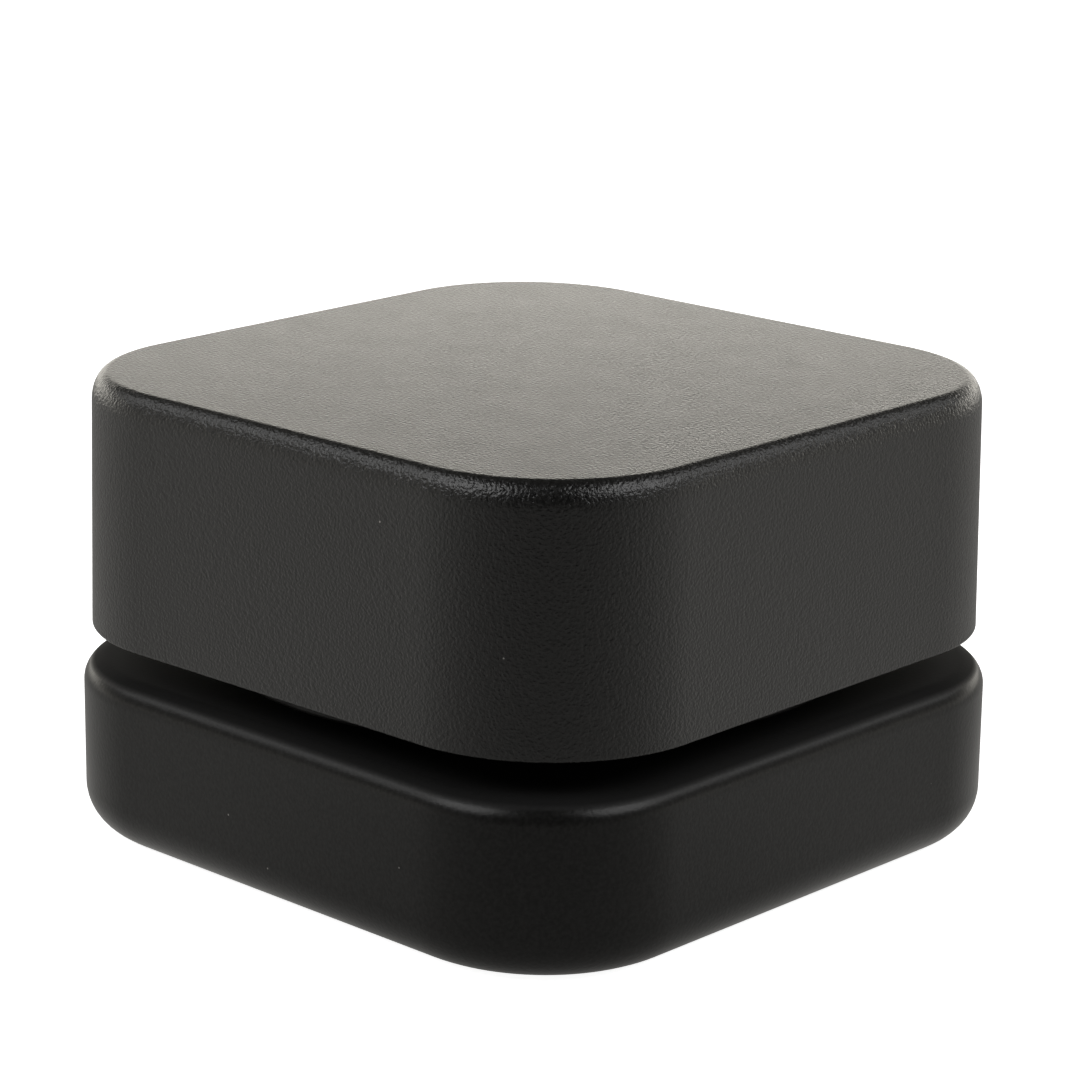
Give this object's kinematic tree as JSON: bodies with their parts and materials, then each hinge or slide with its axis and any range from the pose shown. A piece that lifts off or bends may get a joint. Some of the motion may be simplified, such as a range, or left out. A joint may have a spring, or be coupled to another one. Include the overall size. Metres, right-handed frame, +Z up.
{
  "type": "square screw-top jar with child-resistant cap",
  "caption": "Small square jar with rounded corners, a round threaded neck, and a square push-and-turn cap over a threaded inner cap with a foam liner.",
  "frame": {"origin": "centre of the jar's base, on the surface it stands on", "axes": "+Z up along the thread's axis; X and Y square to the jar's flat sides"},
  "size_m": [0.0388, 0.0388, 0.0248],
  "materials": {
    "jar_glass": "opaque black glass, satin-matte coat",
    "inner_cap_plastic": "moulded, plain matte",
    "outer_cap_plastic": "moulded, fine spark-eroded grain",
    "liner_foam": "closed-cell foam",
    "liner_film": "smooth satin film"
  },
  "bodies": {
    "jar": {"glass_jar": "jar_glass"},
    "liner": {"liner_film": "liner_film", "liner_foam": "liner_foam"},
    "inner_cap": {"inner_cap": "inner_cap_plastic"},
    "outer_cap": {"outer_cap": "outer_cap_plastic"}
  },
  "joints": [
    {"name": "lid_lift", "type": "slide", "parent": "jar", "child": "liner", "axis": [0, 0, 1], "range_m": [0, 0.0128]},
    {"name": "lid_turn", "type": "hinge", "parent": "liner", "child": "inner_cap", "pos_m": [0, 0, 0], "axis": [0, 0, 1], "range_deg": [0, 1440]},
    {"name": "outer_push", "type": "slide", "parent": "inner_cap", "child": "outer_cap", "axis": [0, 0, -1], "range_m": [0, 0.001], "stiffness_N_per_m": 5000, "springref_m": -0.0006}
  ],
  "couplings": [
    {"joint": "lid_turn", "follows": "lid_lift", "rad_per_m": 1963.5}
  ]
}
